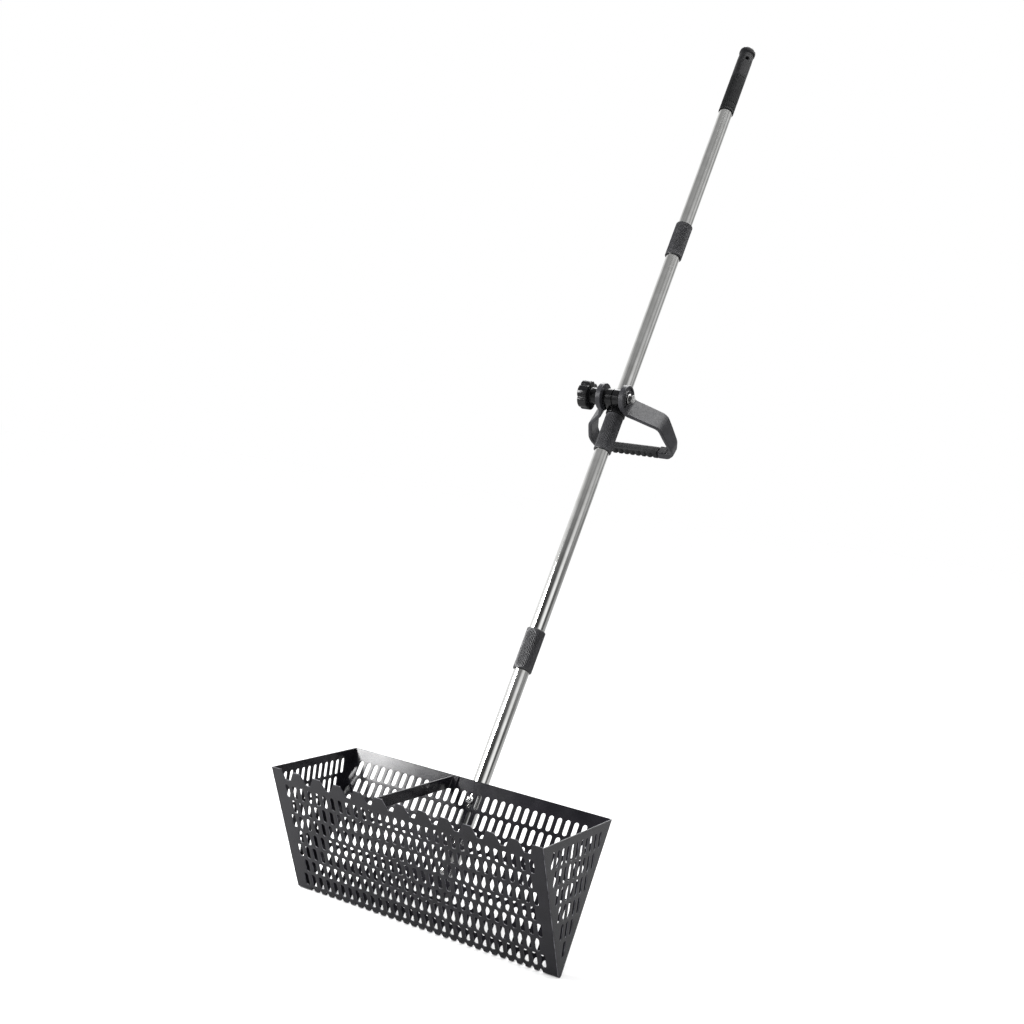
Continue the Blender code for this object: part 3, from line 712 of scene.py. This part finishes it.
def build_plug():
    low, high = span("bottom_tube_plug")
    shoulder = span("bottom_tube")[0] - GAP
    inside = TUBE_R - TUBE_WALL - GAP
    profile = [
        (0, high), (inside, high, 0.0008), (inside, shoulder, 0.0002), (TUBE_R, shoulder, 0.0004),
        (TUBE_R, low, 0.0026), (0.006, low, 0.0006), (0.005, low + 0.0007, 0.0004), (0, low + 0.0009),
    ]
    show("bottom_tube_plug", turned(profile), POLE)


def build_tube_bolt(name):
    """Button-head bolt from inside the basket, with its washer and nut behind the tube."""
    head, end = sorted(span(f"{name}_tube_bolt", axis=1))
    centre = sum(span(f"{name}_tube_washer")) / 2
    under = -(TUBE_R + GAP + SHEET + GAP)
    low, high = span(f"{name}_tube_bolt")
    head_r = (high - low) / 2
    tall = under - head
    profile = [(0, tall)]
    profile += [(head_r * math.sin(a), tall * math.cos(a) ** 0.8) for a in DOME_ANGLES]
    profile += [(head_r, 0.0001), (head_r - 0.0002, 0), (TUBE_BOLT_R, 0)]
    length = end - under
    profile += threaded(TUBE_BOLT_R, -length + 0.0005, -length + TUBE_BOLT_THREAD)
    profile += [(TUBE_BOLT_R - 0.0005, -length), (0, -length)]
    mesh = turned(profile, BOLT_ROUND)
    socket = plate([hexagon(TUBE_BOLT_SOCKET)], 0.004, CUT_CORNER)
    mesh = combine(mesh, placed(socket, at(z=tall)))
    at_bolt = POLE @ at(z=centre)
    show(f"{name}_tube_bolt", mesh, at_bolt @ at(y=under) @ FORWARD)
    for piece in ("washer", "nut"):
        near, far = span(f"{name}_tube_{piece}", axis=1)
        low, high = span(f"{name}_tube_{piece}", axis=0)
        if piece == "washer":
            made = washer(TUBE_BOLT_HOLE_R, (high - low) / 2, far - near)
        else:
            made = hex_nut(TUBE_NUT_FLATS, far - near, TUBE_NUT_BORE)
        show(f"{name}_tube_{piece}", made, at_bolt @ at(y=(near + far) / 2) @ FORWARD)


# ---- the D-handle ----
BRACKET_R = 0.0148
LUG_R = 0.0130
LUG_STEPS = 24
SLIT = 0.0008                     # half its width
SLIT_FROM = 0.7                   # of the bush's radius
PIVOT_FORWARD = 0.020
HUB_R = 0.0205
HUB_IN = BRACKET_R + GAP
HUB_OUT = 0.0231
STRAP = 0.0055
BAR_NEAR = 0.0975
BAR_FAR = 0.1065
BAR_HALF_WIDTH = 0.0052
PIVOT_R = 0.0040
PIVOT_FLATS = 0.0130


def build_bush():
    low, high = span("handle_bush")
    show("handle_bush", turned(sleeve(TUBE_R + GAP, BUSH_R, low, high, TUBE_EDGE)), POLE)


def build_bracket():
    """A split clamp: sleeve round the bush, with two cheeks in front that carry the pivot."""
    low, high = span("handle_bracket")
    middle = (low + high) / 2
    mesh = turned(rod(BRACKET_R, low, high, 0.0012))
    outline = [(0.0, LUG_R), (0.0, -LUG_R)]
    for i in range(LUG_STEPS + 1):
        a = -math.pi / 2 - math.pi * i / LUG_STEPS
        outline.append((-PIVOT_FORWARD + LUG_R * math.cos(a), LUG_R * math.sin(a)))
    lug = plate([outline], 2 * BRACKET_R - 0.0001, 0.0008)
    mesh = combine(mesh, placed(lug, at(z=middle) @ EDGE_ON), "UNION")
    mesh = combine(mesh, turned(rod(BUSH_R + GAP, low - 0.01, high + 0.01, 0.001)))
    front, back = -0.05, -BUSH_R * SLIT_FROM
    slit = plate([[(-SLIT, front), (SLIT, front), (SLIT, back), (-SLIT, back)]], 0.1, CRISP)
    mesh = combine(mesh, placed(slit, at(z=middle)))
    bore = turned(rod(PIVOT_HOLE_R, -0.03, 0.03, CRISP), HOLE_ROUND)
    mesh = combine(mesh, placed(bore, at(y=-PIVOT_FORWARD, z=middle) @ ALONG_X))
    show("handle_bracket", mesh, POLE, angle=30, weighted=True, shade=0.45)


def loop_line():
    """Points round the loop's outside from the right hub to the left hub."""
    corners = [
        (HUB_OUT, 0.0040), (HUB_OUT, 0.0145, 0.006), (0.0722, 0.0372, 0.016), (0.0806, 0.0840, 0.030),
        (0.0785, 0.0985, 0.010), (0.0690, BAR_FAR, 0.010), (-0.0520, BAR_FAR, 0.012),
        (-0.0568, 0.0750, 0.022), (-0.0480, 0.0430, 0.016), (-0.0262, 0.0222, 0.010),
        (-HUB_OUT, 0.0145, 0.006), (-HUB_OUT, 0.0040),
    ]
    line = []
    rough = soften(corners, closed=False, steps=8)
    for a, b in zip(rough, rough[1:]):
        pieces = max(1, math.ceil((Vector(b) - Vector(a)).length / LOOP_STEP))
        line += [tuple(Vector(a).lerp(Vector(b), i / pieces)) for i in range(pieces)]
    return line + [rough[-1]]


def along_table(table, y):
    """The value at y of a table of (y, value), in a straight line from one row to the next."""
    for (y0, w0), (y1, w1) in zip(table, table[1:]):
        if y <= y1:
            share = max(0.0, (y - y0) / (y1 - y0))
            return w0 + (w1 - w0) * share
    return table[-1][1]


STRAP_WIDTHS = ((0.0, 0.0182), (0.030, 0.0174), (0.060, 0.0154), (0.085, 0.0125), (0.0985, 0.0082))
STRAP_THICKNESSES = ((0.0, 0.0078), (0.020, STRAP), (0.085, STRAP), (0.1000, 0.0092), (0.1060, 0.0118))
STRAP_CORNER = 0.0018
LOOP_STEP = 0.003                 # longest step along the loop


def build_loop():
    """The moulded loop: two recessed hub discs, and a strap that tapers into the crossbar."""
    line = loop_line()
    left, right = span("loop_grip", PIVOT, 0)
    rings = []
    for i, (x, y) in enumerate(line):
        ahead = Vector(line[min(i + 1, len(line) - 1)]) - Vector(line[max(i - 1, 0)])
        inward = Vector((-ahead.y, ahead.x)).normalized()
        half = along_table(STRAP_WIDTHS, y)
        thick = along_table(STRAP_THICKNESSES, y)
        if left - 0.0015 < x < right + 0.0015 and y > BAR_NEAR:
            half, thick = BAR_HALF_WIDTH, BAR_FAR - BAR_NEAR
        section = soften(
            [
                (0, half, STRAP_CORNER), (thick, half, STRAP_CORNER),
                (thick, -half, STRAP_CORNER), (0, -half, STRAP_CORNER),
            ],
            steps=4,
        )
        rings.append([(x + inward.x * deep, y + inward.y * deep, across) for deep, across in section])
    mesh = skin(rings)
    floor, ring = HUB_OUT - 0.0022, HUB_OUT - 0.0004
    for side in (1, -1):
        disc = [
            (0, floor), (0.0092, floor, 0.0006), (0.0100, ring, 0.0006), (0.0118, ring, 0.0006),
            (0.0128, floor, 0.0006), (0.0166, floor, 0.0006), (0.0176, HUB_OUT, 0.0006),
            (HUB_R, HUB_OUT, 0.0014), (HUB_R, HUB_IN, 0.0008), (0, HUB_IN),
        ]
        disc = [(r, side * z, *more) for r, z, *more in disc]
        mesh = combine(mesh, placed(turned(disc), ALONG_X), "UNION")
    bore = turned(rod(PIVOT_HOLE_R, -0.04, 0.04, CRISP), HOLE_ROUND)
    mesh = combine(mesh, placed(bore, ALONG_X))
    show("handle_loop", mesh, PIVOT, angle=32, weighted=True)


GRIP_FINGERS = 9
FINGER_GROOVE = 0.0026
FINGER_SIDE = Vector((0.55, -0.83))   # from the sleeve's middle, towards the ribs
GRIP_END = 0.0018                 # rounding of the sleeve's ends


def build_loop_grip():
    """Rubber sleeve on the crossbar, with finger ribs along its far and lower side."""
    left, right = span("loop_grip", PIVOT, 0)
    near, far = span("loop_grip", PIVOT, 1)
    wide = span("loop_grip", PIVOT, 2)[1]
    bar_near, bar_far = BAR_NEAR - GAP, BAR_FAR + GAP
    bar_wide = BAR_HALF_WIDTH + GAP
    steps = GRIP_FINGERS * 14

    def section(x, inset):
        reach = (right - left) / GRIP_FINGERS
        phase = ((x - left) / reach) % 1.0
        ends = min(x - left, right - x)
        valley = math.exp(-(((phase + 0.5) % 1.0 - 0.5) / 0.17) ** 2)
        groove = FINGER_GROOVE * valley if ends > 0.003 else 0.0
        outline = soften(
            [
                (near + inset, wide - inset, 0.005), (near + inset, -wide + inset, 0.004),
                (far - inset, -wide + inset, 0.006), (far - inset, wide - inset, 0.005),
            ],
            steps=9,
        )
        ring = []
        middle = Vector(((near + far) / 2, 0))
        for y, z in outline:
            spoke = Vector((y, z)) - middle
            facing = spoke.normalized().dot(FINGER_SIDE)
            share = min(1.0, max(0.0, (facing - 0.25) / 0.35))
            spoke -= spoke.normalized() * groove * share
            ring.append((x, middle.x + spoke.x, spoke.y))
        return ring

    def inner(x):
        outline = soften(
            [
                (bar_near, bar_wide, 0.001), (bar_near, -bar_wide, 0.001),
                (bar_far, -bar_wide, 0.001), (bar_far, bar_wide, 0.001),
            ],
            steps=9,
        )
        return [(x, y, z) for y, z in outline]

    rings = []
    for i in range(steps + 1):
        x = left + (right - left) * i / steps
        ends = min(x - left, right - x)
        inset = GRIP_END * (1 - math.sqrt(max(0.0, 1 - (1 - min(1.0, ends / GRIP_END)) ** 2)))
        rings.append(section(x, inset))
    rings += [inner(right), inner(left)]
    show("loop_grip", skin(rings, closed=True), PIVOT, angle=50)


def build_pivot():
    """Hexagon bolt through both hubs, and a washer at each."""
    end, tip = span("pivot_bolt", PIVOT, 0)
    washer_end = span("pivot_washer", PIVOT, 0)[1] + GAP
    shank = [(0, washer_end + 0.002), (PIVOT_R, washer_end + 0.002), (PIVOT_R, -0.018)]
    shank += threaded(PIVOT_R, end + 0.001, -0.0182)
    shank += [(0.0032, end), (0, end)]
    mesh = turned(shank, BOLT_ROUND)
    head = hex_nut(PIVOT_FLATS, tip - washer_end, 0.0001)
    mesh = combine(mesh, placed(head, at(z=(tip + washer_end) / 2)), "UNION")
    show("pivot_bolt", mesh, PIVOT @ ALONG_X)
    for node in ("pivot_washer", "knob_washer"):
        low, high = span(node, PIVOT, 0)
        wide = span(node, PIVOT, 1)[1]
        show(node, washer(PIVOT_HOLE_R, wide, high - low), PIVOT @ at(x=(low + high) / 2) @ ALONG_X)


KNOB_LOBES = 6
KNOB_NECK = 0.0127
KNOB_NECK_R = 0.0120
KNOB_GROOVE = 0.0018
KNOB_FLAT = 0.0010                # how far the lobes' tops fall away to the valleys
KNOB_RIM = 0.0080
KNOB_POCKET = 0.0136              # across its flats


def build_knob():
    """Star knob: a plain neck with the nut in it, and a head of six broad lobes."""
    far, near = span("knob", PIVOT, 0)
    reach = span("knob", PIVOT, 2)[1]
    head = near - KNOB_NECK
    inner = reach - KNOB_RIM
    profile = [
        (0, near), (KNOB_NECK_R, near, 0.0006), (KNOB_NECK_R, head + 0.0010, 0.0010),
        (reach - 0.0014, head, 0.0006), (reach, head - 0.0010, 0.0008), (reach, head - 0.0060),
        (reach - 0.0002, far, 0.0012), (inner, far, 0.0010), (inner - 0.0012, far + 0.0010, 0.0008),
        (0.0060, far + 0.0012), (0, far + 0.0012),
    ]

    def lobes(angle, radius, z):
        if radius < inner + 0.0005:
            return radius
        share = min(1.0, (radius - inner) / 0.006)
        wave = 0.5 - 0.5 * math.cos(KNOB_LOBES * angle)
        return radius - share * (KNOB_GROOVE * wave ** 12 + KNOB_FLAT * wave)

    mesh = turned(profile, KNOB_LOBES * 32, lobes)
    pocket = plate([hexagon(KNOB_POCKET)], 0.0142, CUT_CORNER)
    mesh = combine(mesh, placed(pocket, at(z=near)))
    bore = turned(rod(PIVOT_HOLE_R, near - 0.0165, near + 0.004, CRISP), HOLE_ROUND)
    mesh = combine(mesh, bore)
    show("knob", mesh, PIVOT @ ALONG_X, angle=32, shade=0.45)
    low, high = span("knob_nut", PIVOT, 0)
    nut = hex_nut(PIVOT_FLATS, high - low, PIVOT_HOLE_R)
    show("knob_nut", nut, PIVOT @ at(x=(low + high) / 2) @ ALONG_X)


# ---- studio ----
CAMERA_AT = Vector((0.84372, -1.41349, 0.62193))
CAMERA_BACK = Vector((0.48904, -0.87095, 0.04776)).normalized()
CAMERA_ROLL = math.radians(7.57)
CAMERA_LENS = 46.1
FLOOR = 14                        # half its width
FLOOR_GAP = 0.0006                # under the fold


def make_camera():
    camera = bpy.data.objects.new("camera", bpy.data.cameras.new("camera"))
    bpy.context.scene.collection.objects.link(camera)
    camera.data.lens = CAMERA_LENS
    turn = CAMERA_BACK.to_track_quat("Z", "Y").to_matrix().to_4x4()
    camera.matrix_world = Matrix.Translation(CAMERA_AT) @ turn @ Matrix.Rotation(CAMERA_ROLL, 4, "Z")
    camera.data.clip_end = 50
    bpy.context.scene.camera = camera


def make_floor():
    mesh = bpy.data.meshes.new("floor")
    corners = [(-FLOOR, -FLOOR, 0), (FLOOR, -FLOOR, 0), (FLOOR, FLOOR, 0), (-FLOOR, FLOOR, 0)]
    mesh.from_pydata(corners, [], [(0, 1, 2, 3)])
    material = bpy.data.materials.new("pale_floor")
    material.use_nodes = True
    shader = material.node_tree.nodes["Principled BSDF"]
    tree = material.node_tree
    mirrored = add_node(tree, "ShaderNodeLightPath").outputs["Is Glossy Ray"]
    for name, pale, dark in (("Base Color", 0.80, 0.42), ("Emission Color", 0.20, 0.0)):
        colour = add_node(
            tree, "ShaderNodeMix", {"Factor": mirrored, 6: (pale, pale, pale, 1), 7: (dark, dark, dark, 1)},
            data_type="RGBA",
        )
        tree.links.new(colour.outputs[2], shader.inputs[name])
    shader.inputs["Roughness"].default_value = 1.0
    shader.inputs["Specular IOR Level"].default_value = 0.0
    shader.inputs["Emission Strength"].default_value = 1.0
    mesh.materials.append(material)
    floor = helper("floor", mesh)
    floor.location.z = -FLOOR_GAP


def make_light(name, place, aim, size, power, mirrored=False):
    light = bpy.data.lights.new(name, "AREA")
    light.shape = "RECTANGLE"
    light.size, light.size_y = size
    light.energy = power
    obj = helper(name, light)
    obj.location = place
    obj.rotation_euler = (Vector(place) - Vector(aim)).to_track_quat("Z", "Y").to_euler()
    obj.visible_glossy = mirrored


# What a shiny surface sees round the pole, from the left of the camera to the right, as (degrees,
# brightness). The first row is for level reflections, the second for those well up the pole.
STRIPS = (
    ((-180, 1.1), (-100, 1.2), (-84, 0.85), (-72, 0.70), (-64, 0.05), (-10, 0.06), (6, 0.65), (18, 1.3),
     (44, 1.3), (54, 0.13), (92, 0.10), (119, 0.14), (126, 0.9), (180, 1.1)),
    ((-180, 1.1), (-120, 0.85), (-96, 0.36), (-60, 0.40), (-30, 0.45), (-8, 0.34), (4, 0.50), (26, 0.60),
     (50, 0.36), (68, 0.75), (88, 0.75), (100, 0.32), (120, 0.36), (130, 0.75), (180, 0.9)),
)
LEVEL, STEEP = 0.22, 0.50         # share of a reflection's direction that lies up the pole
# The overhead softbox puts the sheen on the D-handle's arm: its brightness, and where it starts and
# is full, up the pole and across the camera.
OVERHEAD = 9.0
OVERHEAD_UP = (0.74, 0.82)
OVERHEAD_ACROSS = (-0.35, -0.22)


def make_world():
    """Plain pale surroundings. Only reflections see the strips, as flags and softboxes in a studio."""
    world = bpy.data.worlds.new("studio")
    world.use_nodes = True
    bpy.context.scene.world = world
    tree = world.node_tree
    direction = add_node(tree, "ShaderNodeTexCoord").outputs["Generated"]
    toward = (CAMERA_BACK - UP_POLE * CAMERA_BACK.dot(UP_POLE)).normalized()
    across, ahead, up = (
        add_node(
            tree, "ShaderNodeVectorMath", {0: direction, 1: tuple(axis)}, operation="DOT_PRODUCT"
        ).outputs["Value"]
        for axis in (UP_POLE.cross(toward), toward, UP_POLE)
    )
    around = add_node(tree, "ShaderNodeMath", {0: across, 1: ahead}, operation="ARCTAN2").outputs[0]
    share = between(tree, around, 0, 1, -math.pi, math.pi)
    ramps = []
    for stops in STRIPS:
        ramp = add_node(tree, "ShaderNodeValToRGB", {"Fac": share})
        elements = ramp.color_ramp.elements
        elements.remove(elements[1])
        for i, (degrees, value) in enumerate(stops):
            place = (degrees + 180) / 360
            element = elements[0] if i == 0 else elements.new(place)
            element.position = place
            element.color = (value, value, value, 1)
        ramps.append(ramp.outputs["Color"])
    strips = add_node(
        tree, "ShaderNodeMix",
        {"Factor": between(tree, up, 0, 1, LEVEL, STEEP), 6: ramps[0], 7: ramps[1]}, data_type="RGBA",
    ).outputs[2]
    lid = OVERHEAD
    for value, low, high in ((up, *OVERHEAD_UP), (across, *OVERHEAD_ACROSS)):
        inside = between(tree, value, 0, 1, low, high)
        lid = add_node(tree, "ShaderNodeMath", {0: lid, 1: inside}, operation="MULTIPLY").outputs[0]
    strips = add_node(
        tree, "ShaderNodeMix", {"Factor": 1.0, 6: strips, 7: lid}, data_type="RGBA", blend_type="ADD"
    ).outputs[2]
    rays = add_node(tree, "ShaderNodeLightPath")
    colour = add_node(
        tree, "ShaderNodeMix", {"Factor": rays.outputs["Is Glossy Ray"], 6: (1, 1, 1, 1), 7: strips},
        data_type="RGBA",
    ).outputs[2]
    tree.links.new(colour, tree.nodes["Background"].inputs["Color"])


# The softbox is where the left end of the back panel mirrors it into the camera.
SOFTBOX_AIM = Vector((-0.265, 0.19, 0.29))
SOFTBOX_AT = SOFTBOX_AIM + Vector((-0.56, -0.61, 0.56))


def make_studio():
    bpy.context.scene.view_settings.view_transform = "Standard"
    make_camera()
    make_floor()
    make_world()
    make_light("softbox", SOFTBOX_AT, SOFTBOX_AIM, (0.50, 0.45), 27, mirrored=True)
    make_light("overhead", (0.55, 0.28, 2.65), (0.05, 0.36, 0.68), (0.9, 0.9), 12)
    make_light("side", (2.2, 0.6, 1.3), (0, 0.1, 0.3), (1.2, 1.6), 5)


def main():
    build_sheet()
    build_end_panel("left_end_panel")
    build_end_panel("right_end_panel")
    build_brace()
    for node in ("bottom_tube", "second_tube", "third_tube", "top_tube"):
        build_tube(node)
    build_plug()
    for name in ("upper", "lower"):
        build_tube_bolt(name)
    for name in ("lower", "middle", "upper"):
        build_spigot(name)
        build_collar(f"{name}_collar")
    build_hand_grip()
    build_end_cap()
    build_bush()
    build_bracket()
    build_loop()
    build_loop_grip()
    build_pivot()
    build_knob()
    make_studio()


main()
